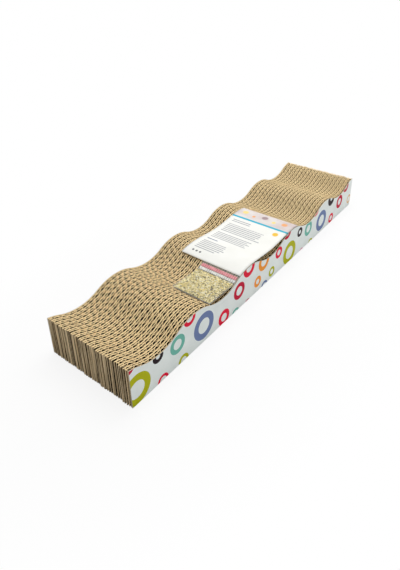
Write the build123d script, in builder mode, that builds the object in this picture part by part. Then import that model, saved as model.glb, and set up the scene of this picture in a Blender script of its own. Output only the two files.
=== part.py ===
"""Wave-topped scratcher: strips of double-wall corrugated board on edge, with side panels, a card and a bag.

Millimetres. +X runs across the strips, +Y from the front end to the far end, +Z up.
The origin is on the floor, under the middle of the block.
"""
from build123d import *

import os
from math import atan2, ceil, sqrt, tan

os.makedirs("parts", exist_ok=True)

# Block
strip_count = 19
length = 472.0
crest_height = 44.8
wave_depth = 11.8
wave_pitch = 97.5
crest_lead = 11.5  # the first crest would stand this far before the front end
panel = 0.6
stagger = 0.7  # largest slip of a strip's end
overrun = 5.0

# Corrugated board, from the back face to the front face of a strip
liner = 0.35
medium = 0.25
fine_height, fine_pitch = 1.95, 6.78
coarse_height, coarse_pitch = 2.75, 8.16
tip_share = 0.18  # glued tip of a flute, as a share of its pitch

# Where each strip's end slips to, from left to right, and where its flutes start
slip_shares = (
    0.3, -0.2, 0.1, -0.4, 0.0, 0.9, -0.1, 1.0, -0.6, -0.3,
    0.1, 0.8, -0.8, -0.4, 0.2, -0.1, 0.9, -1.0, -0.3,
)
coarse_start_shares = (0.1, 0.65, 0.3, 0.85)
fine_start_shares = (0.4, 0.0, 0.7)

# Card
card = 0.4
card_width = 81.3
card_length = 130.5
card_crest = 2  # the crest that the card's near end lies on
card_overhang = 18.9  # from that crest to the card's near edge
card_inset = 0.2  # from the block's right side
card_sag_share = 0.26  # of the wave's depth, between its two crests
card_drape_share = 0.85  # of the wave's depth, where its ends hang down
card_gap = 0.9  # air under the card on its crests

# Bag
bag_width = 50.2
bag_inset = 0.2
pouch_length = 43.0
lip_length = 11.3
tuck = 1.0  # length of lip under the card
rest_gap = 0.6  # air under the bag where it lies on a slope
film = 0.15
seam = 1.2
bag_stack = 1.2  # height of the closed bag at its seams and its zip
mouth_stack = 0.4
crown = 2.2
sag_share = 0.42  # of the room down to the valley
swell_shares = ((0.0, 0.05), (0.16, 0.7), (0.5, 1.0), (0.84, 0.7), (1.0, 0.05))
fill_gap = 0.2

# Zip
zip_inset = 1.0  # from the pouch's end to the zip strips
zip_width = 3.0
zip_gap = 0.05
groove_base = 0.5
rib_width = 0.8
rib_height = 0.25

strip = 3 * liner + fine_height + coarse_height
width = strip_count * strip + 2 * panel
front = -length / 2
right = width / 2


def side_plane(x, slip=0.0):
    """Plane square to X whose first axis runs from the front end along +Y and whose second axis is +Z."""
    return Plane(origin=(x, front + slip, 0), x_dir=(0, 1, 0), z_dir=(1, 0, 0))


def wave_drop(y, depth):
    """How far the wave's arcs lie below the crests, at a distance y from the front end."""
    rise, half = depth / 2, wave_pitch / 2
    radius = (half**2 / 4 + rise**2) / (2 * rise)
    turns = (y + crest_lead) / half
    bulge = sqrt(radius**2 - ((turns - round(turns)) * half) ** 2) - (radius - rise)
    return rise - bulge if round(turns) % 2 == 0 else rise + bulge


def crest_place(index):
    return index * wave_pitch - crest_lead


def wave_line(top, depth):
    """Draws the row of waves as arcs, from before the front end to past the far end; returns its ends."""
    half = wave_pitch / 2
    start = -crest_lead - half / 2
    count = ceil((length - start) / half) + 1
    middle = top - depth / 2
    for index in range(count):
        y = start + index * half
        peak = top if index % 2 == 0 else top - depth
        ThreePointArc((y, middle), (y + half / 2, peak), (y + half, middle))
    return (start, middle), (start + count * half, middle)


def save(part, name):
    part.label = name
    export_step(part, f"parts/{name}.step", write_pcurves=False)


# Side outline that every strip and panel is cut to
with BuildSketch() as outline:
    with BuildLine():
        near, far = wave_line(crest_height, wave_depth)
        Polyline(far, (far[0], 0), (near[0], 0), near)
    make_face()
    with Locations((length / 2, crest_height / 2)):
        Rectangle(length, crest_height + overrun, mode=Mode.INTERSECT)


def flute_points(pitch, height, start_share):
    """Closed outline of a fluted sheet, seen from above: straight flanks between flat glued tips."""
    reach = (height - medium) / 2
    tip = tip_share * pitch
    flank_angle = atan2(2 * reach, pitch / 2 - tip)
    lean = medium / 2 * tan(flank_angle / 2)
    left_side, right_side = [], []
    for index in range(ceil(length / pitch) + 2):
        y = (index - 1 + start_share) * pitch
        corners = (
            (-reach, y, 1),
            (-reach, y + tip, -1),
            (reach, y + pitch / 2, -1),
            (reach, y + pitch / 2 + tip, 1),
        )
        for x, along, sense in corners:
            right_side.append((x + medium / 2, along + sense * lean))
            left_side.append((x - medium / 2, along - sense * lean))
    return right_side + left_side[::-1]


def fluted_sheet(pitch, height, start_share):
    """One fluted sheet on the plane x = 0, cut to the side outline."""
    with BuildPart() as fluted:
        with BuildSketch(Plane((0, front, -overrun))):
            with BuildLine():
                Polyline(flute_points(pitch, height, start_share), close=True)
            make_face()
        extrude(amount=crest_height + 2 * overrun)
        with BuildSketch(side_plane(0)):
            add(outline.sketch_local)
        extrude(amount=height, both=True, mode=Mode.INTERSECT)
    return fluted.part


# Strips: each is a face liner, and a core of two fluted sheets with the other two liners
coarse_sheets = [fluted_sheet(coarse_pitch, coarse_height, share) for share in coarse_start_shares]
fine_sheets = [fluted_sheet(fine_pitch, fine_height, share) for share in fine_start_shares]
for index in range(strip_count):
    back = index * strip - right + panel
    slip = slip_shares[index % len(slip_shares)] * stagger
    fine_back = back + liner
    middle_back = fine_back + fine_height
    coarse_back = middle_back + liner
    with BuildPart() as face_liner:
        with BuildSketch(side_plane(coarse_back + coarse_height, slip)):
            add(outline.sketch_local)
        extrude(amount=liner)
    save(face_liner.part, f"strip_{index + 1:02d}_face_liner")
    with BuildPart() as core_liners:
        with BuildSketch(side_plane(back, slip), side_plane(middle_back, slip)):
            add(outline.sketch_local)
        extrude(amount=liner)
    fine_place = Location((fine_back + fine_height / 2, slip, 0))
    coarse_place = Location((coarse_back + coarse_height / 2, slip, 0))
    fine_sheet = fine_sheets[index % len(fine_sheets)].moved(fine_place)
    coarse_sheet = coarse_sheets[index % len(coarse_sheets)].moved(coarse_place)
    core_layers = [*core_liners.part.solids(), *fine_sheet.solids(), *coarse_sheet.solids()]
    save(Compound(core_layers), f"strip_{index + 1:02d}_fluted_core")

# Side panels
for name, x in (("left_side_panel", -right), ("right_side_panel", right - panel)):
    with BuildPart() as side_panel:
        with BuildSketch(side_plane(x)):
            add(outline.sketch_local)
        extrude(amount=panel)
    save(side_panel.part, name)

# Card: lies on two crests, sags between them and hangs down at its ends
card_near = crest_place(card_crest) - card_overhang
card_far = card_near + card_length
near_crest, far_crest = crest_place(card_crest), crest_place(card_crest + 1)
card_left = right - card_inset - card_width


def card_line(bottom):
    """Draws one side of the card, bottom being its height on the crests; returns its ends."""
    ends = []
    for end, crest in ((card_near, near_crest), (card_far, far_crest)):
        middle = (end + crest) / 2
        low, halfway = (bottom - wave_drop(y, card_drape_share * wave_depth) for y in (end, middle))
        ThreePointArc((end, low), (middle, halfway), (crest, bottom))
        ends.append((end, low))
    sag = ((near_crest + far_crest) / 2, bottom - card_sag_share * wave_depth)
    Spline((near_crest, bottom), sag, (far_crest, bottom), tangents=((1, 0), (1, 0)))
    return ends


with BuildPart() as info_card:
    with BuildSketch(side_plane(card_left)):
        with BuildLine():
            low_ends = card_line(crest_height + card_gap)
            high_ends = card_line(crest_height + card_gap + card)
            for low_end, high_end in zip(low_ends, high_ends):
                Line(low_end, high_end)
        make_face()
    extrude(amount=card_width)
save(info_card.part, "info_card")

# Bag: bridges the valley before the card, its lips on the far slope and under the card's near edge
bag_end = card_near + tuck
pouch_end = bag_end - lip_length
bag_near = pouch_end - pouch_length
bag_left = right - bag_inset - bag_width
zip_near = pouch_end + zip_inset
zip_far = zip_near + zip_width
near_low, pouch_low, mouth_low = (
    crest_height - wave_drop(y, wave_depth) + rest_gap for y in (bag_near, pouch_end, bag_end)
)
pouch_middle = (bag_near + pouch_end) / 2


def bag_line(y):
    """Height of the bag's underside, where it isn't swollen."""
    if y < pouch_end:
        return near_low + (y - bag_near) / pouch_length * (pouch_low - near_low)
    return pouch_low + (y - pouch_end) / lip_length * (mouth_low - pouch_low)


def bag_height(y):
    """Height of the closed bag at its seams; past the zip it thins to two films."""
    past = (y - zip_far) / (bag_end - zip_far)
    return bag_stack + (mouth_stack - bag_stack) * min(max(past, 0), 1)


bag_sag = sag_share * (bag_line(pouch_middle) - crest_height + wave_depth)


def pouch(inset, wall, end):
    """Pillow with lips that reach to end, drawn in from the bag's edges by inset, from its skin by wall."""
    near = bag_near + inset
    places = [pouch_end] + [y for y in (zip_far, bag_end) if y < end] + [end]
    low_lip = [(y, bag_line(y) + wall) for y in places]
    high_lip = [(y, bag_line(y) + bag_height(y) - wall) for y in reversed(places)]
    near_base, near_top = (near, bag_line(near) + wall), (near, bag_line(near) + bag_stack - wall)
    base, top = bag_line(pouch_middle) + wall, bag_line(pouch_middle) + bag_stack - wall
    with BuildPart() as pillow:
        for across_share, swell_share in swell_shares:
            x = bag_left + inset + across_share * (bag_width - 2 * inset)
            with BuildSketch(side_plane(x)):
                with BuildLine():
                    ThreePointArc(near_base, (pouch_middle, base - swell_share * bag_sag), low_lip[0])
                    Polyline(low_lip + high_lip)
                    ThreePointArc(high_lip[-1], (pouch_middle, top + swell_share * crown), near_top)
                    Line(near_top, near_base)
                make_face()
        loft()
    return pillow.part


bag_outside = pouch(0, 0, bag_end)
bag_inside = pouch(seam, film, bag_end + overrun)
with BuildPart() as bag_film:
    add(bag_outside)
    add(bag_inside, mode=Mode.SUBTRACT)
save(bag_film.part, "bag_film")
save(pouch(seam + fill_gap, film + fill_gap, zip_near - fill_gap), "catnip")

# Zip: a rib strip on the upper lip that presses into a groove strip on the lower lip
zip_length = bag_width - 2 * (seam + zip_gap)
zip_middle = (zip_near + zip_far) / 2
groove_top = film + groove_base


def lip_outline(half, low, high):
    """Draws a band on the lips about the zip's middle, between two heights above the bag's underside."""
    ends = (zip_middle - half, zip_middle + half)
    lower = [(y, bag_line(y) + low) for y in ends]
    upper = [(y, bag_line(y) + high) for y in reversed(ends)]
    Polyline(lower + upper, close=True)


with BuildPart() as zip_groove_strip:
    with BuildSketch(side_plane(bag_left + seam + zip_gap)):
        with BuildLine():
            lip_outline(zip_width / 2, film, groove_top)
        make_face()
        with BuildLine():
            lip_outline(rib_width / 2 + zip_gap, groove_top - rib_height - zip_gap, groove_top + zip_gap)
        make_face(mode=Mode.SUBTRACT)
    extrude(amount=zip_length)
save(zip_groove_strip.part, "zip_groove_strip")

with BuildPart() as zip_rib_strip:
    with BuildSketch(side_plane(bag_left + seam + zip_gap)):
        with BuildLine():
            lip_outline(zip_width / 2, groove_top, bag_stack - film)
        make_face()
        with BuildLine():
            lip_outline(rib_width / 2, groove_top - rib_height, groove_top)
        make_face()
    extrude(amount=zip_length)
save(zip_rib_strip.part, "zip_rib_strip")
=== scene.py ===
"""Wave-topped cardboard scratcher with a loose card and a bag of catnip, dressed on its frame. Metres."""
import math

import bpy
import numpy as np
from mathutils import Matrix, Vector

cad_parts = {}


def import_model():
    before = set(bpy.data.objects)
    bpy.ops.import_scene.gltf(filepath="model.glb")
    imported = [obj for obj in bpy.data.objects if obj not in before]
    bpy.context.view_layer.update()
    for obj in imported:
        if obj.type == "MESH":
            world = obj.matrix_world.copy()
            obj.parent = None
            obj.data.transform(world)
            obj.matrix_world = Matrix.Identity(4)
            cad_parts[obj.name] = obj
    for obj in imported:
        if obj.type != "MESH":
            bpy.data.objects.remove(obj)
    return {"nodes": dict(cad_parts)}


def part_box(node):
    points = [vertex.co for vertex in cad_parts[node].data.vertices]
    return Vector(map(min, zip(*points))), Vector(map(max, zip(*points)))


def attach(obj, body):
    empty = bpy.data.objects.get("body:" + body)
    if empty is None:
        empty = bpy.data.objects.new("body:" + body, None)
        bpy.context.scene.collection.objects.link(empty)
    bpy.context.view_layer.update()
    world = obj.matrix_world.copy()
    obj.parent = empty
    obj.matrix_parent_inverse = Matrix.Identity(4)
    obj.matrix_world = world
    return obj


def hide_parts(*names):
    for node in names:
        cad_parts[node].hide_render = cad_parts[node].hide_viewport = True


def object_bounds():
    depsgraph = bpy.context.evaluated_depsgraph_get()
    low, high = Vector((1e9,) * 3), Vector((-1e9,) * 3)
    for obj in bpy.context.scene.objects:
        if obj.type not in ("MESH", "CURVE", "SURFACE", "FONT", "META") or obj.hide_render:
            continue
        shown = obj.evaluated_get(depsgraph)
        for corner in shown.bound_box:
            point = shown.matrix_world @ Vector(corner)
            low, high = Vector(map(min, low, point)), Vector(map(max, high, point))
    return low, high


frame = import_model()
cad_low, cad_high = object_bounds()
random_seed = 11
rng = np.random.default_rng(random_seed)
mm = 0.001
full_turn = 2 * math.pi


def linear(level):
    """One channel of a screen colour, 0 to 255, as linear light, by the usual curve."""
    share = level / 255
    return share / 12.92 if level <= 10 else ((share + 0.055) / 1.055) ** 2.4


def srgb(red, green, blue):
    """Screen colour of 0 to 255 as a linear colour with alpha."""
    return (linear(red), linear(green), linear(blue), 1.0)


# Block
panel_low, panel_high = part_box("right_side_panel")
length = panel_high.y - panel_low.y
front = panel_low.y
crest_height = panel_high.z
wave_depth = 11.8 * mm
wave_pitch = 97.5 * mm
crest_lead = 11.5 * mm  # crest 0 lies this far before the front end
strip_count = 19

# Papers of a strip
liner = 0.35 * mm
medium = 0.3 * mm
frayed_liner, frayed_medium = 0.95 * mm, 0.5 * mm  # thickness of the fuzzy cut edges
fine_height, fine_pitch = 1.95 * mm, 6.78 * mm
coarse_pitch = 8.16 * mm
steps_per_flute = 10
drift, drift_steps = 0.05, 3 * steps_per_flute  # share of a pitch by which the flutes wander
uneven, uneven_steps = 0.04, steps_per_flute / 2  # share of the height by which flutes differ
liner_step = 2.0 * mm
fray_depth = 0.6 * mm  # depth below the cut where the paper stands undisturbed
crush_lean = -0.2 * mm  # the blade pushes the flutes over to the left
crush_reach = 0.12 * mm  # more or less of that push along a flute
liner_ragged, flute_ragged = 0.0, 0.2 * mm  # how far a cut may lie below the wave
end_trim = 0.05 * mm
open_ends = (6, 8, 12, 16)  # strips whose coarse flutes are torn away at the front
torn_length = 4.5 * mm
liner_lit_reach, flute_lit_reach = 1.0 * mm, 4.0 * mm  # how far in from an end the papers are painted in lit colours
shade_depth = 9.0 * mm  # how far in from an end the gaps are painted dark as shade

# Card
card_low, card_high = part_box("info_card")
card_thickness = 0.4 * mm
card_crest = 2  # the nearer of the two crests under the card
card_sag = 0.26 * wave_depth
card_drape = 0.85 * wave_depth
card_curl = 0.4 * mm
curl_parts = 7  # the curl fades out over one part in so many of the length
card_columns, card_rows = 24, 60

# Bag
bag_low, bag_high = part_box("bag_film")
zip_low, zip_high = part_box("zip_groove_strip")
film = 0.08 * mm
seam = 1.2 * mm
seam_gap = 0.12 * mm
seam_rise = 0.6 * mm  # from the seam to the full height of the lips
bag_stack, mouth_stack = 1.2 * mm, 0.4 * mm  # thickness at the zip and at the mouth
rest_gap = 0.6 * mm
zip_inset = 1.0 * mm
crown = 2.2 * mm
sag_share = 0.42
swell_power, arc_power = 0.6, 0.8  # how full the pouch is towards its sides and its ends
fullness = 0.94
lump = 0.3 * mm
lump_count = 7
lump_rates, lump_weights = (300, 900), (0.4, 1.0)
bag_columns, bag_rows = 60, 76
bag_sides = ("near", "left", "right")  # the mouth stays open

# Catnip: a heap, and flakes whose half length, half width and half thickness are in mm
heap_inset = 0.4 * mm
heap_cover = 0.55 * mm
heap_least = 0.05 * mm
heap_columns, heap_rows = 40, 38
flake_count = 1500
flake_corners = 5
flake_lengths, flake_widths, flake_heights = (1.0, 2.3), (0.7, 1.3), (0.08, 0.16)
flake_room = 0.3 * mm  # the least room in which a flake fits
flake_skin, flake_depth = 0.12 * mm, 0.45 * mm  # how far below the film flakes lie
flake_tilt = 0.35
lower_every = 4  # one flake in so many lies against the lower film

# Coloured band past the zip
stripe_start, stripe_width = 0.2 * mm, 4.2 * mm
stripe_inset = 0.2 * mm
stripe_lift, stripe_thickness = 0.1 * mm, 0.06 * mm
stripe_columns, stripe_rows = 40, 6
rung_scale = 120

# Sides of a sheet, as seen from above
all_sides = ("near", "far", "left", "right")

# Colours of the papers: their faces, which on the flute papers are painted near-black as shade of the
# holes besides being darker paper; painted shade on their overhanging undersides; the strip ends, with
# painted light and a painted dark band of shade near them; and the cut edges
tan, fine_flute_paper_and_shade, coarse_flute_paper_and_shade = srgb(200, 164, 112), srgb(40, 27, 13), srgb(12, 7, 3)
back_under_shade = srgb(150, 120, 80)
middle_tan, middle_under_shade = srgb(180, 147, 100), srgb(34, 22, 10)
# Colours at the strip ends: streaks of paper and painted shade, a pale colour for the cut ends that is
# also the painted light near the ends, and a painted dark band of shade
end_streak_and_shade, pale_end_and_lit, end_shade = srgb(80, 60, 34), srgb(246, 222, 180), srgb(40, 27, 12)
pale_cut, flute_cut = srgb(255, 227, 174), srgb(255, 221, 167)

# Spans of a pattern's values that are spread over a whole range of looks
widest, wide, middling, narrow = (0.2, 0.8), (0.25, 0.75), (0.3, 0.7), (0.35, 0.65)
streak_span = (0.42, 0.6)

# Spans of a part of the surface's normal, over which one look passes into another
end_facing, side_facing = (0.8, 0.95), (0.4, 0.6)
under_facing, cut_facing = (-0.3, -0.5), (0.4, 0.75)

# Print of the panels. Rings: place from the front end, height, outer and inner radius in mm, and ink
board_whites = srgb(236, 243, 240), srgb(245, 251, 248)
board_edges = srgb(166, 162, 152), srgb(196, 192, 182)
inks = {
    "olive": srgb(186, 188, 12),
    "red": srgb(236, 16, 60),
    "crimson": srgb(202, 2, 54),
    "rose": srgb(226, 160, 178),
    "black": srgb(38, 24, 30),
    "teal": srgb(117, 190, 173),
    "blue": srgb(115, 133, 177),
    "orange": srgb(250, 155, 52),
    "sand": srgb(232, 190, 140),
}
rings = (
    (-1.3, 49, 9.7, 4.6, "crimson"),
    (6.8, 16.6, 17, 9.3, "olive"),
    (39.2, -0.4, 7.4, 4.4, "red"),
    (34.8, 32.2, 6.9, 2.6, "black"),
    (61.2, 26.2, 10.5, 5.6, "teal"),
    (68.5, 0.4, 7.6, 4.2, "olive"),
    (79.8, 44.8, 8.9, 4.6, "red"),
    (101.1, 20.2, 16, 8.8, "blue"),
    (135.3, 7.2, 9.8, 4.9, "red"),
    (157.1, -3, 7.5, 4.6, "teal"),
    (164, 24, 10.5, 5.5, "crimson"),
    (180.9, -5.7, 7.3, 4.2, "crimson"),
    (183, 43.6, 11.4, 5.6, "red"),
    (202, 13.5, 7.3, 3.3, "orange"),
    (217.6, -2, 7.3, 4.4, "blue"),
    (214.6, 34.2, 11.6, 6, "orange"),
    (233.9, 9.5, 6.7, 3.4, "olive"),
    (249.5, 28.2, 7.8, 3.8, "red"),
    (269, 46.8, 9.2, 4.6, "crimson"),
    (277.4, 13.5, 16, 8.8, "olive"),
    (303.2, 31, 6.7, 2.9, "black"),
    (311.3, -5.4, 7.8, 4.7, "rose"),
    (328.1, 24.3, 10.4, 5.4, "teal"),
    (337.5, -2.7, 7, 4.4, "olive"),
    (348.2, 42.9, 8.8, 5.1, "red"),
    (368.3, 18.5, 15.4, 8.5, "blue"),
    (397.4, 40.6, 10.8, 3.4, "black"),
    (402.3, 7.2, 7.7, 4, "red"),
    (429.1, 22.7, 10.4, 5.2, "crimson"),
    (449.1, 40.2, 9.4, 4.6, "crimson"),
    (466.5, 12, 7.3, 4.4, "sand"),
)

# Print of the card, in mm from its near left corner.
# Blocks of rules: left, right, near and far edge, and ink. Dots: place, radius and ink
card_whites = srgb(242, 242, 236), srgb(248, 248, 243)
header_shades = srgb(232, 227, 223), srgb(212, 198, 196)
turquoise = srgb(58, 180, 206)
header_length, turquoise_width = 24.5, 3.4
rule_pitch, rule_share, rule_shortfall = 3.5, 0.36, 9
dot_core = 0.75  # share of a dot's radius that has its full colour
card_inks = {
    "grey": srgb(158, 160, 166),
    "slate": srgb(52, 74, 124),
    "yellow": srgb(244, 198, 70),
    "peach": srgb(240, 174, 122),
    "straw": srgb(246, 222, 140),
    "ash": srgb(104, 106, 110),
    "mauve": srgb(166, 144, 146),
}
rule_blocks = (
    (7, 40, 90, 99, "grey"),
    (7, 64, 66, 86, "grey"),
    (7, 58, 46, 62, "grey"),
    (7, 28, 38.5, 41, "slate"),
    (7, 44, 15, 35, "grey"),
)
card_dots = (
    (10, 9, 1.6, "ash"),
    (15, 9, 1.6, "ash"),
    (20, 9, 1.6, "ash"),
    (70, 94, 4.2, "yellow"),
    (11, 119, 4.6, "straw"),
    (26, 115, 2.6, "peach"),
    (40, 120, 4.8, "mauve"),
    (55, 116, 3.0, "straw"),
    (69, 119, 4.4, "peach"),
)

# Colours of the bag: film, zip, coloured band, heap, and flakes by their share from 0 to 1
film_tint = srgb(244, 246, 240)
zip_shades = srgb(240, 240, 234), srgb(96, 92, 86)
stripe_shades = srgb(228, 154, 158), srgb(172, 50, 62)
heap_shades = srgb(160, 144, 76), srgb(236, 220, 154)
flake_shades = (
    (0.0, srgb(254, 240, 176)),
    (0.3, srgb(240, 216, 126)),
    (0.5, srgb(210, 186, 104)),
    (0.64, srgb(255, 247, 210)),
    (0.8, srgb(136, 121, 50)),
    (0.9, srgb(76, 66, 24)),
)

# Floor: near the object it is grey and holds the shadow, further off it is plain white
floor_size = 20.0
floor_grey, white = (0.9, 0.9, 0.9, 1), (1, 1, 1, 1)
floor_stretch = (2.0, 1.0, 1.0)  # distances count double across the block
fade_span, fade_shares = (0.24, 0.45), (0.86, 1.0)
footprint_span = (0.995, 1.0)  # the floor below the object stays grey

# Light: strength of the world, then the name, place, aim, size and power of each lamp
world_strength = 0.46
lamps = (
    ("key", (-0.12, 0.3, 1.2), (0, 0, 0), 0.9, 8.2),
    ("far_fill", (0, 0.42, 0.7), (0, 0.16, 0), 0.4, 1.2),
)

# Camera, for a frame of 400 by 570 pixels
frame_width, frame_height = 400, 570
focal_pixels = 476.3
centre_x, centre_y = 209, 195
camera_place = (284.7 * mm, -422.1 * mm, 348.6 * mm)
camera_azimuth, camera_elevation, camera_roll = 37.58, 26.45, -0.77
sensor = 36.0
clip_near, clip_far = 0.01, 100


def wave_drop(y, depth=wave_depth):
    """How far the wave's arcs lie below the crests at y."""
    rise, half = depth / 2, wave_pitch / 2
    radius = (half**2 / 4 + rise**2) / (2 * rise)
    turns = (y - front + crest_lead) / half
    nearest = np.round(turns)
    bulge = np.sqrt(radius**2 - ((turns - nearest) * half) ** 2) - (radius - rise)
    return np.where(nearest % 2 == 0, rise - bulge, rise + bulge)


def smooth_noise(count, spacing, reach):
    """Random values that change slowly along a row of points."""
    spare_knots = 3
    knots = rng.uniform(-reach, reach, int(count / spacing) + spare_knots)
    return np.interp(np.arange(count) / spacing, np.arange(len(knots)), knots)


def new_piece(name, points, faces, body, materials, smooth=True):
    """A mesh that rides on one of the bodies."""
    mesh = bpy.data.meshes.new(name)
    mesh.from_pydata([tuple(p) for p in points], [], faces)
    mesh.validate()
    mesh.update()
    if smooth:
        mesh.shade_smooth()
    else:
        mesh.shade_flat()
    piece = bpy.data.objects.new(name, mesh)
    bpy.context.scene.collection.objects.link(piece)
    for material in materials:
        mesh.materials.append(material)
    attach(piece, body)
    return piece


def dress(name, material):
    """Gives a piece of the frame its material."""
    data = frame["nodes"][name].data
    data.materials.clear()
    data.materials.append(material)


def grid(low_x, high_x, low_y, high_y, columns, rows):
    """Places of a grid of points, row by row."""
    xs, ys = np.meshgrid(np.linspace(low_x, high_x, columns), np.linspace(low_y, high_y, rows))
    return xs.ravel(), ys.ravel()


def grid_faces(columns, rows):
    faces = []
    for j in range(rows - 1):
        for i in range(columns - 1):
            a = j * columns + i
            faces.append((a, a + 1, a + columns + 1, a + columns))
    return faces


def rim_edges(columns, rows, side):
    """Edges of a grid along one of its sides."""
    last_row, last = (rows - 1) * columns, columns - 1
    if side == "near":
        return [(i, i + 1) for i in range(last)]
    if side == "far":
        return [(last_row + i + 1, last_row + i) for i in range(last)]
    if side == "left":
        return [((j + 1) * columns, j * columns) for j in range(rows - 1)]
    return [(j * columns + last, (j + 1) * columns + last) for j in range(rows - 1)]


def slab(xs, ys, top, bottom, columns, rows, sides=all_sides):
    """Points and faces of an upper and a lower grid, joined along the named sides."""
    points = np.concatenate([np.stack([xs, ys, top], 1), np.stack([xs, ys, bottom], 1)])
    count = len(xs)
    upper = grid_faces(columns, rows)
    lower = [tuple(count + i for i in reversed(quad)) for quad in upper]
    rim = [(count + a, count + b, b, a) for side in sides for a, b in rim_edges(columns, rows, side)]
    return points, upper + lower + rim


def node(tree, kind, inputs=None, **settings):
    """Adds a shader node. An input given as a socket is linked, and any other value is set."""
    made = tree.nodes.new(kind)
    for key, value in settings.items():
        setattr(made, key, value)
    for key, value in (inputs or {}).items():
        if isinstance(value, bpy.types.NodeSocket):
            tree.links.new(value, made.inputs[key])
        else:
            made.inputs[key].default_value = value
    return made


def new_material(name, roughness=0.8):
    material = bpy.data.materials.new(name)
    material.use_nodes = True
    tree = material.node_tree
    shader = tree.nodes["Principled BSDF"]
    shader.inputs["Roughness"].default_value = roughness
    return material, tree, shader


def calculate(tree, operation, *values):
    """Result of an operation on numbers."""
    return node(tree, "ShaderNodeMath", dict(enumerate(values)), operation=operation).outputs["Value"]


def on_vectors(tree, operation, *values, result="Vector"):
    """Result of an operation on vectors: a vector, or a plain value."""
    made = node(tree, "ShaderNodeVectorMath", dict(enumerate(values)), operation=operation)
    return made.outputs[result]


def parts(tree, vector):
    """The X, Y and Z of a vector."""
    return node(tree, "ShaderNodeSeparateXYZ", {"Vector": vector}).outputs


def mix(tree, factor, first, second, blend="MIX"):
    """One colour passing into another."""
    factor_socket, first_socket, second_socket, result_socket = 0, 6, 7, 2
    inputs = {factor_socket: factor, first_socket: first, second_socket: second}
    made = node(tree, "ShaderNodeMix", inputs, data_type="RGBA", blend_type=blend)
    return made.outputs[result_socket]


def remap(tree, value, span, result=(0.0, 1.0)):
    """A span of values, spread over another one."""
    limits = {"From Min": span[0], "From Max": span[1], "To Min": result[0], "To Max": result[1]}
    return node(tree, "ShaderNodeMapRange", {"Value": value, **limits}).outputs["Result"]


def between(tree, value, low, high):
    """1 where a value lies from low to high, and 0 elsewhere."""
    return calculate(tree, "COMPARE", value, (low + high) / 2, (high - low) / 2)


def own_place(tree):
    """Place on the object itself."""
    return node(tree, "ShaderNodeTexCoord").outputs["Object"]


def stretched(tree, scale):
    """Place on the object itself, multiplied axis by axis."""
    return on_vectors(tree, "MULTIPLY", own_place(tree), scale)


def noise(tree, scale, detail, roughness=0.5):
    """Cloudy pattern; a larger scale makes it finer along that axis."""
    settings = {"Scale": 1.0, "Detail": detail, "Roughness": roughness}
    return node(tree, "ShaderNodeTexNoise", {"Vector": stretched(tree, scale), **settings}).outputs["Fac"]


def facing(tree, axis):
    """One part of the surface's own normal."""
    normal = node(tree, "ShaderNodeNewGeometry").outputs["True Normal"]
    return parts(tree, normal)[axis]


def set_colour(tree, shader, colour):
    tree.links.new(colour, shader.inputs["Base Color"])


def set_roughness(tree, shader, pattern, lowest, highest):
    tree.links.new(remap(tree, pattern, widest, (lowest, highest)), shader.inputs["Roughness"])


def set_specular(shader, level):
    shader.inputs["Specular IOR Level"].default_value = level


def add_bump(tree, shader, height, distance, strength):
    bump = node(tree, "ShaderNodeBump", {"Height": height, "Distance": distance, "Strength": strength})
    tree.links.new(bump.outputs["Normal"], shader.inputs["Normal"])


def kraft(name, faces_and_shade, under_shade, cut, lit_reach):
    """Kraft paper with painted light and shade: flute faces painted dark as shade of the holes, painted
    shade on overhanging undersides, a painted dark band in the gaps near the strip ends, paler streaked
    papers near the ends where painted light reaches, pale cut ends and pale cut edges.
    """
    material, tree, shader = new_material(name)
    fibres = noise(tree, scale=(2500, 2500, 260), detail=4.0, roughness=0.65)
    streaks = noise(tree, scale=(750, 160, 12), detail=3.0, roughness=0.6)
    away = calculate(tree, "ABSOLUTE", parts(tree, own_place(tree))["Y"])
    inner, outer = length / 2 - shade_depth, length / 2
    # Away from the ends the faces keep their given colour, painted dark on the flute papers as shade of
    # the holes; nearer the ends it passes into a painted dark band of shade in the gaps
    inside = mix(tree, remap(tree, away, (inner, inner + lit_reach)), faces_and_shade, end_shade)
    # Painted light near the ends: the papers there are paler, streaked with painted shade between lit
    # edges
    shown = mix(tree, remap(tree, streaks, streak_span), end_streak_and_shade, pale_end_and_lit)
    colour = mix(tree, remap(tree, away, (outer - lit_reach, outer - lit_reach / 2)), inside, shown)
    end = calculate(tree, "ABSOLUTE", facing(tree, "Y"))
    # The strip ends themselves take the pale colour of cut paper ends
    colour = mix(tree, remap(tree, end, end_facing), colour, pale_end_and_lit)
    up = facing(tree, "Z")
    # Painted shade on the overhanging undersides of the frayed cut tops
    colour = mix(tree, remap(tree, up, under_facing), colour, under_shade)
    colour = mix(tree, remap(tree, up, cut_facing), colour, cut)
    shade = remap(tree, fibres, wide, result=(0.84, 1.05))
    set_colour(tree, shader, mix(tree, 1.0, colour, shade, "MULTIPLY"))
    set_roughness(tree, shader, fibres, lowest=0.8, highest=0.97)
    set_specular(shader, 0.0)
    add_bump(tree, shader, fibres, distance=0.08 * mm, strength=0.6)
    return material


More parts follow.
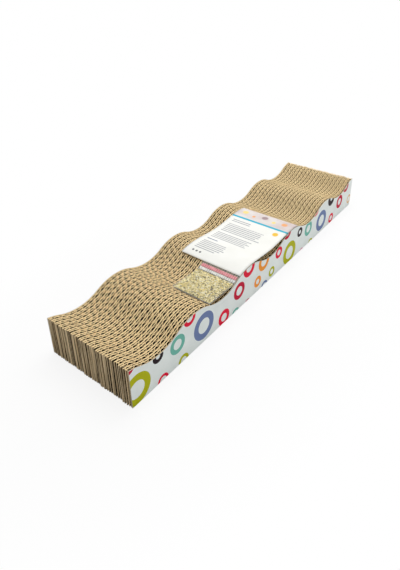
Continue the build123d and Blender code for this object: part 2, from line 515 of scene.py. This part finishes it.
def printed_board(name, along):
    """Coated white board with printed rings; along is 1, or -1 to run the print from the far end."""
    material, tree, shader = new_material(name)
    coords = stretched(tree, (0, along, 1))
    mottle = noise(tree, scale=(60, 60, 60), detail=5.0)
    colour = mix(tree, remap(tree, mottle, middling), *board_whites)
    for place, height, outer, inner, ink in rings:
        centre = (0, front + place * mm, height * mm)
        away = on_vectors(tree, "DISTANCE", coords, centre, result="Value")
        middle, half = (outer + inner) / 2 * mm, (outer - inner) / 2 * mm
        band = calculate(tree, "COMPARE", away, middle, half)
        colour = mix(tree, band, colour, inks[ink])
    speckle = noise(tree, scale=(1800, 1800, 1800), detail=4.0)
    edge = mix(tree, remap(tree, speckle, middling), *board_edges)
    side = calculate(tree, "ABSOLUTE", facing(tree, "X"))
    set_colour(tree, shader, mix(tree, remap(tree, side, side_facing), edge, colour))
    set_roughness(tree, shader, speckle, lowest=0.4, highest=0.55)
    set_specular(shader, 0.06)
    add_bump(tree, shader, mottle, distance=0.05 * mm, strength=0.4)
    return material


def printed_card():
    """White card: a pale header band with soft dots, a turquoise rule, and blocks of plain grey rules."""
    material, tree, shader = new_material("card_print")
    corner = (-card_low.x, -card_low.y, 0)
    place = on_vectors(tree, "ADD", own_place(tree), corner)
    flat = on_vectors(tree, "MULTIPLY", place, (1 / mm, 1 / mm, 0))
    x, y, _ = parts(tree, flat)
    mottle = noise(tree, scale=(45, 45, 45), detail=4.0)
    colour = mix(tree, remap(tree, mottle, middling), *card_whites)
    far = (card_high.y - card_low.y) / mm
    header_start = far - header_length
    cloud = noise(tree, scale=(30, 60, 1), detail=2.0)
    header = mix(tree, remap(tree, cloud, narrow), *header_shades)
    colour = mix(tree, between(tree, y, header_start, far), colour, header)
    band = between(tree, y, header_start - turquoise_width, header_start)
    colour = mix(tree, band, colour, turquoise)
    row = calculate(tree, "DIVIDE", y, rule_pitch)
    rule_low, rule_high = 0.5 - rule_share / 2, 0.5 + rule_share / 2
    rule = between(tree, calculate(tree, "FRACT", row), rule_low, rule_high)
    number = calculate(tree, "FLOOR", row)
    luck = node(tree, "ShaderNodeTexWhiteNoise", {"W": number}, noise_dimensions="1D").outputs["Value"]
    for left, right, near, last, ink in rule_blocks:
        stop = remap(tree, luck, (0.0, 1.0), result=(right - rule_shortfall, right))
        mask = calculate(tree, "MULTIPLY", between(tree, x, left, right), between(tree, y, near, last))
        mask = calculate(tree, "MULTIPLY", mask, calculate(tree, "LESS_THAN", x, stop))
        mask = calculate(tree, "MULTIPLY", mask, rule)
        colour = mix(tree, mask, colour, card_inks[ink])
    for dot_x, dot_y, radius, ink in card_dots:
        away = on_vectors(tree, "DISTANCE", flat, (dot_x, dot_y, 0), result="Value")
        colour = mix(tree, remap(tree, away, (radius, radius * dot_core)), colour, card_inks[ink])
    set_colour(tree, shader, colour)
    set_roughness(tree, shader, mottle, lowest=0.35, highest=0.5)
    set_specular(shader, 0.15)
    add_bump(tree, shader, mottle, distance=0.1 * mm, strength=0.3)
    return material


def clear_film():
    """Thin clear film with faint creases."""
    material, tree, shader = new_material("film", roughness=0.12)
    creases = noise(tree, scale=(220, 130, 220), detail=3.0, roughness=0.6)
    shader.inputs["Base Color"].default_value = film_tint
    shader.inputs["Alpha"].default_value = 0.07
    set_roughness(tree, shader, creases, lowest=0.08, highest=0.25)
    set_specular(shader, 0.7)
    add_bump(tree, shader, creases, distance=0.4 * mm, strength=0.8)
    return material


def dried_leaf():
    """Chips of dried leaf and stem: each chip has its own shade of straw, sage or olive."""
    material, tree, shader = new_material("dried_leaf", roughness=0.85)
    luck = node(tree, "ShaderNodeNewGeometry").outputs["Random Per Island"]
    ramp = node(tree, "ShaderNodeValToRGB", {"Fac": luck})
    ramp.color_ramp.interpolation = "CONSTANT"
    stops = ramp.color_ramp.elements
    for index, (start, shade) in enumerate(flake_shades):
        stop = stops[index] if index < len(stops) else stops.new(start)
        stop.position = start
        stop.color = shade
    grain = noise(tree, scale=(1500, 1500, 1500), detail=4.0)
    shade = remap(tree, grain, wide, result=(0.7, 1.1))
    set_colour(tree, shader, mix(tree, 1.0, ramp.outputs["Color"], shade, "MULTIPLY"))
    add_bump(tree, shader, grain, distance=0.1 * mm, strength=0.7)
    return material


def leaf_mass():
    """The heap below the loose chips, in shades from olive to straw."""
    material, tree, shader = new_material("leaf_mass", roughness=0.9)
    coords = stretched(tree, (620, 620, 620))
    cells = node(tree, "ShaderNodeTexVoronoi", {"Vector": coords, "Scale": 1.0})
    pick = parts(tree, cells.outputs["Color"])["X"]
    set_colour(tree, shader, mix(tree, pick, *heap_shades))
    add_bump(tree, shader, cells.outputs["Distance"], distance=0.5 * mm, strength=0.8)
    return material


def zip_plastic(name, pale, strong):
    """Milky plastic pressed into a ladder of small rungs."""
    material, tree, shader = new_material(name, roughness=0.35)
    inputs = {"Vector": stretched(tree, (1, 0, 0)), "Scale": rung_scale, "Distortion": 0.0}
    rungs = node(tree, "ShaderNodeTexWave", inputs, bands_direction="X").outputs["Fac"]
    patches = remap(tree, noise(tree, scale=(130, 300, 1), detail=2.0), narrow)
    set_colour(tree, shader, mix(tree, calculate(tree, "MULTIPLY", rungs, patches), pale, strong))
    add_bump(tree, shader, rungs, distance=0.1 * mm, strength=0.6)
    return material


def ribbon(xs, ys, thickness, frayed, tops, lean):
    """Closed upright sheet along a path seen from above. Its cut top is thicker and leans aside."""
    count = len(xs)
    along = np.stack([np.gradient(xs), np.gradient(ys)], 1)
    along /= np.linalg.norm(along, axis=1)[:, None]
    across = np.stack([along[:, 1], -along[:, 0]], 1)
    levels = (
        (np.zeros(count), 0.0, thickness),
        (tops - fray_depth, 0.0, thickness),
        (tops, lean, frayed),
    )
    points = []
    for heights, shift, wall in levels:
        for side in (-wall / 2, wall / 2):
            places = np.clip(ys + side * across[:, 1], ys[0], ys[-1])
            points.append(np.stack([xs + shift + side * across[:, 0], places, heights], 1))
    loop = (0, 2, 4, 5, 3, 1)  # rows of points, up one side and down the other
    faces = []
    for a, b in zip(loop, loop[1:] + loop[:1]):
        for i in range(count - 1):
            faces.append((a * count + i, a * count + i + 1, b * count + i + 1, b * count + i))
    faces.append(tuple(row * count for row in loop))
    faces.append(tuple(row * count + count - 1 for row in reversed(loop)))
    return np.concatenate(points), faces


def flutes(x, low_y, high_y, pitch, height):
    """Path of one fluted sheet, a little uneven from flute to flute."""
    count = int((high_y - low_y) / pitch * steps_per_flute)
    ys = np.linspace(low_y, high_y, count)
    turn = ys / pitch + rng.uniform() + smooth_noise(count, drift_steps, drift)
    reach = (height - medium) / 2 * (1 + smooth_noise(count, uneven_steps, uneven) - uneven)
    return x + reach * np.sin(full_turn * turn), ys


def cut_tops(ys, raggedness):
    """Heights of a paper's cut edge."""
    return crest_height - wave_drop(ys) - rng.uniform(0, raggedness, len(ys))


def strip_layers(number, papers):
    """The four inner papers of one strip, as one piece."""
    core = f"strip_{number:02d}_fluted_core"
    low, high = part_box(core)
    coarse_height = high.x - low.x - 2 * liner - fine_height
    low_y, high_y = low.y + end_trim, high.y - end_trim
    sheets = []
    ys = np.linspace(low_y, high_y, int((high_y - low_y) / liner_step))
    lean = (frayed_liner - liner) / 2
    for back in (low.x, low.x + liner + fine_height):
        xs = np.full(len(ys), back + liner / 2)
        sheets.append((xs, ys, liner, frayed_liner, cut_tops(ys, liner_ragged), lean))
    torn = torn_length if number in open_ends else 0.0
    for x, pitch, height, start_y in (
        (low.x + liner + fine_height / 2, fine_pitch, fine_height, low_y),
        (high.x - coarse_height / 2, coarse_pitch, coarse_height, low_y + torn),
    ):
        xs, ys = flutes(x, start_y, high_y, pitch, height)
        lean = crush_lean + smooth_noise(len(xs), uneven_steps, crush_reach)
        sheets.append((xs, ys, medium, frayed_medium, cut_tops(ys, flute_ragged), lean))
    points, faces, kinds, start = [], [], [], 0
    for index, sheet in enumerate(sheets):
        made, quads = ribbon(*sheet)
        points.append(made)
        faces += [tuple(start + i for i in quad) for quad in quads]
        kinds += [index] * len(quads)
        start += len(made)
    name = f"strip_{number:02d}_layers"
    piece = new_piece(name, np.concatenate(points), faces, "block", papers, smooth=False)
    piece.data.polygons.foreach_set("material_index", kinds)
    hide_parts(core)


def card_tops(ys):
    """Height of the card: it sags between two crests and hangs down past them."""
    near_crest = front + card_crest * wave_pitch - crest_lead
    share = (ys - near_crest) / wave_pitch
    sag = card_sag * (1 - np.cos(full_turn * share)) / 2
    inside = (share > 0) & (share < 1)
    return card_high.z - np.where(inside, sag, wave_drop(ys, card_drape))


def info_card(material):
    """Thin card, limp enough to follow the waves a little, with a slight curl at its near left corner."""
    xs, ys = grid(card_low.x, card_high.x, card_low.y, card_high.y, card_columns, card_rows)
    u = (xs - card_low.x) / (card_high.x - card_low.x)
    v = (ys - card_low.y) / (card_high.y - card_low.y)
    tops = card_tops(ys) + card_curl * (1 - u) ** 3 * np.clip(1 - curl_parts * v, 0, 1) ** 2
    points, faces = slab(xs, ys, tops, tops - card_thickness, card_columns, card_rows)
    piece = new_piece("card_sheet", points, faces, "card", [material])
    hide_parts("info_card")


# The bag's shape: its middle line, and half its thickness to either side
pouch_end = zip_low.y - zip_inset
near_low, pouch_low, mouth_low = (
    crest_height - float(wave_drop(y)) + rest_gap for y in (bag_low.y, pouch_end, bag_high.y)
)
valley_room = (near_low + pouch_low) / 2 - crest_height + wave_depth
zip_half, mouth_half = bag_stack / 2, mouth_stack / 2
top_bulge = zip_half + crown
bottom_bulge = zip_half + sag_share * valley_room
lump_waves = [
    (
        rng.uniform(*lump_rates),
        rng.uniform(0, math.pi),
        rng.uniform(0, full_turn),
        rng.uniform(*lump_weights),
    )
    for _ in range(lump_count)
]


def bag_middle(ys):
    """Height of the bag's middle: the pouch bridges the valley, and the lips climb the far slope."""
    places = (bag_low.y, pouch_end, bag_high.y)
    return np.interp(ys, places, (near_low + zip_half, pouch_low + zip_half, mouth_low + mouth_half))


def lumps(xs, ys):
    """Waves that cross at random, from -1 to 1."""
    total, weights = 0, 0
    for rate, angle, phase, weight in lump_waves:
        total = total + weight * np.sin(rate * (np.cos(angle) * xs + np.sin(angle) * ys) + phase)
        weights += weight
    return total / weights


def bag_half(xs, ys, bulge):
    """Distance from the bag's middle plane to one of its films."""
    side = np.minimum(xs - bag_low.x, bag_high.x - xs) - seam
    u = np.clip(side / ((bag_high.x - bag_low.x) / 2 - seam), 0, 1)
    swell = np.clip(u * (2 - u), 0, 1) ** swell_power
    v = np.clip((ys - bag_low.y - seam) / (pouch_end - bag_low.y - seam), 0, 1)
    arc = np.clip(4 * v * (1 - v), 0, 1) ** arc_power
    closing = np.clip((ys - zip_high.y) / (bag_high.y - zip_high.y), 0, 1)
    mouth = np.where(ys < zip_high.y, zip_half * v**2, zip_half + (mouth_half - zip_half) * closing)
    edge = np.clip(side / seam_rise, 0, 1)
    uneven_film = lump * lumps(xs, ys) * swell * arc
    return seam_gap / 2 + mouth * edge + (bulge - zip_half * v**2) * fullness * swell * arc + uneven_film


def bag_skin(material):
    """The film of the pouch and its lips."""
    xs, ys = grid(bag_low.x, bag_high.x, bag_low.y, bag_high.y, bag_columns, bag_rows)
    top = bag_middle(ys) + bag_half(xs, ys, top_bulge)
    bottom = bag_middle(ys) - bag_half(xs, ys, bottom_bulge)
    points, faces = slab(xs, ys, top, bottom, bag_columns, bag_rows, bag_sides)
    piece = new_piece("bag_skin", points, faces, "bag", [material])
    wall = piece.modifiers.new("wall", "SOLIDIFY")
    wall.thickness = film
    wall.offset = -1.0  # the film lies inside the surface
    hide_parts("bag_film")


def catnip(chip_material, mass_material):
    """A lumpy heap that fills the pouch, with loose chips pressed against both films."""
    inner = seam + heap_inset
    low_x, high_x, low_y = bag_low.x + inner, bag_high.x - inner, bag_low.y + inner
    xs, ys = grid(low_x, high_x, low_y, pouch_end, heap_columns, heap_rows)
    top = bag_middle(ys) + np.maximum(bag_half(xs, ys, top_bulge) - film - heap_cover, heap_least)
    bottom = bag_middle(ys) - np.maximum(bag_half(xs, ys, bottom_bulge) - film - heap_cover, heap_least)
    heap, faces = slab(xs, ys, top, bottom, heap_columns, heap_rows)
    points = [heap]
    heap_faces, start = len(faces), len(heap)
    for index in range(flake_count):
        x = rng.uniform(low_x, high_x)
        y = rng.uniform(low_y, pouch_end)
        half_length = rng.uniform(*flake_lengths) * mm
        half_width = rng.uniform(*flake_widths) * mm
        half_height = rng.uniform(*flake_heights) * mm
        upper = index % lower_every != 0
        bulge, sign = (top_bulge, 1) if upper else (bottom_bulge, -1)
        room = bag_half(np.array([x]), np.array([y]), bulge)[0] - film
        if room < flake_room:
            continue
        z = bag_middle(y) + sign * (room - rng.uniform(flake_skin, flake_depth))
        angles = np.sort(rng.uniform(0, full_turn, flake_corners))
        around = [half_length * np.cos(angles), half_width * np.sin(angles), np.zeros(flake_corners)]
        tips = [[0, 0, half_height], [0, 0, -half_height]]
        chip = np.concatenate([np.stack(around, 1), tips])
        heading = Matrix.Rotation(rng.uniform(0, full_turn), 3, "Z")
        tilt = Matrix.Rotation(rng.uniform(-flake_tilt, flake_tilt), 3, "X")
        points.append(chip @ np.array(heading @ tilt).T + (x, y, z))
        for i in range(flake_corners):
            a, b = start + i, start + (i + 1) % flake_corners
            faces += [(a, b, start + flake_corners), (b, a, start + flake_corners + 1)]
        start += len(chip)
    materials = [mass_material, chip_material]
    piece = new_piece("catnip_fill", np.concatenate(points), faces, "bag", materials, smooth=False)
    for index, polygon in enumerate(piece.data.polygons):
        polygon.material_index = 0 if index < heap_faces else 1
    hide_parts("catnip")


def zip_stripe(material):
    """Coloured band on the upper lip, just past the zip."""
    inset, start = seam + stripe_inset, zip_high.y + stripe_start
    low_x, high_x = bag_low.x + inset, bag_high.x - inset
    xs, ys = grid(low_x, high_x, start, start + stripe_width, stripe_columns, stripe_rows)
    top = bag_middle(ys) + bag_half(xs, ys, top_bulge) + stripe_lift
    points, faces = slab(xs, ys, top, top - stripe_thickness, stripe_columns, stripe_rows)
    piece = new_piece("zip_stripe", points, faces, "bag", [material])


def floor():
    """Pale floor that keeps the shadow near the object and turns plain white further off."""
    size = floor_size
    corners = [(-size, -size, 0), (size, -size, 0), (size, size, 0), (-size, size, 0)]
    mesh = bpy.data.meshes.new("floor")
    mesh.from_pydata(corners, [], [(0, 1, 2, 3)])
    piece = bpy.data.objects.new("floor", mesh)
    bpy.context.scene.collection.objects.link(piece)
    material, tree, shader = new_material("floor", roughness=0.9)
    shader.inputs["Base Color"].default_value = floor_grey
    set_specular(shader, 0.1)
    away = on_vectors(tree, "LENGTH", stretched(tree, floor_stretch), result="Value")
    far = remap(tree, away, fade_span, fade_shares)
    footprint = on_vectors(tree, "ABSOLUTE", stretched(tree, (1 / cad_high.x, 2 / length, 0)))
    across, along, _ = parts(tree, footprint)
    beyond = remap(tree, calculate(tree, "MAXIMUM", across, along), footprint_span)
    seen = node(tree, "ShaderNodeLightPath").outputs["Is Camera Ray"]
    factor = calculate(tree, "MULTIPLY", calculate(tree, "MULTIPLY", far, beyond), seen)
    glow = node(tree, "ShaderNodeEmission", {"Color": white, "Strength": 1.0}).outputs["Emission"]
    mixed = node(tree, "ShaderNodeMixShader", {0: factor, 1: shader.outputs["BSDF"], 2: glow})
    tree.links.new(mixed.outputs["Shader"], tree.nodes["Material Output"].inputs["Surface"])
    mesh.materials.append(material)


def world():
    """Soft even light; anything that looks at the background sees white."""
    made = bpy.data.worlds.new("studio")
    made.use_nodes = True
    tree = made.node_tree
    light = tree.nodes["Background"]
    light.inputs["Color"].default_value = white
    light.inputs["Strength"].default_value = world_strength
    plain = node(tree, "ShaderNodeBackground", {"Color": white, "Strength": 1.0})
    path = node(tree, "ShaderNodeLightPath")
    rays = path.outputs["Is Camera Ray"]
    for name in ("Is Glossy Ray", "Is Transmission Ray"):
        rays = calculate(tree, "MAXIMUM", rays, path.outputs[name])
    shaders = {1: light.outputs["Background"], 2: plain.outputs["Background"]}
    mixed = node(tree, "ShaderNodeMixShader", {0: rays, **shaders})
    tree.links.new(mixed.outputs["Shader"], tree.nodes["World Output"].inputs["Surface"])
    bpy.context.scene.world = made


def area_light(name, place, aim, size, power):
    data = bpy.data.lights.new(name, "AREA")
    data.size = size
    data.energy = power
    lamp = bpy.data.objects.new(name, data)
    lamp.location = place
    direction = np.array(aim) - np.array(place)
    lamp.rotation_mode = "QUATERNION"
    lamp.rotation_quaternion = Vector(direction).to_track_quat("-Z", "Y")
    bpy.context.scene.collection.objects.link(lamp)


def camera():
    data = bpy.data.cameras.new("camera")
    long_side = max(frame_width, frame_height)
    data.sensor_width = sensor
    data.lens = focal_pixels / long_side * sensor
    data.shift_x = (frame_width / 2 - centre_x) / long_side
    data.shift_y = (centre_y - frame_height / 2) / long_side
    data.clip_start, data.clip_end = clip_near, clip_far
    made = bpy.data.objects.new("camera", data)
    turn = (
        Matrix.Rotation(math.radians(camera_azimuth), 4, "Z")
        @ Matrix.Rotation(math.radians(90 - camera_elevation), 4, "X")
        @ Matrix.Rotation(math.radians(camera_roll), 4, "Z")
    )
    made.matrix_world = Matrix.Translation(camera_place) @ turn
    bpy.context.scene.collection.objects.link(made)
    bpy.context.scene.camera = made


# The flute papers' face colours and every underside colour given here are painted shade
back_paper = kraft("back_liner", tan, back_under_shade, pale_cut, liner_lit_reach)
middle_paper = kraft("middle_liner", middle_tan, middle_under_shade, pale_cut, liner_lit_reach)
fine_paper = kraft("fine_flutes", fine_flute_paper_and_shade, fine_flute_paper_and_shade, flute_cut, flute_lit_reach)
coarse_paper = kraft("coarse_flutes", coarse_flute_paper_and_shade, coarse_flute_paper_and_shade, flute_cut, flute_lit_reach)
for number in range(1, strip_count + 1):
    dress(f"strip_{number:02d}_face_liner", back_paper)
    strip_layers(number, [back_paper, middle_paper, fine_paper, coarse_paper])
dress("left_side_panel", printed_board("left_print", -1))
dress("right_side_panel", printed_board("right_print", 1))
info_card(printed_card())
bag_skin(clear_film())
catnip(dried_leaf(), leaf_mass())
milky = zip_plastic("zip_plastic", *zip_shades)
dress("zip_groove_strip", milky)
dress("zip_rib_strip", milky)
zip_stripe(zip_plastic("zip_stripe", *stripe_shades))

floor()
world()
for lamp in lamps:
    area_light(*lamp)
camera()
bpy.context.scene.view_settings.view_transform = "Standard"
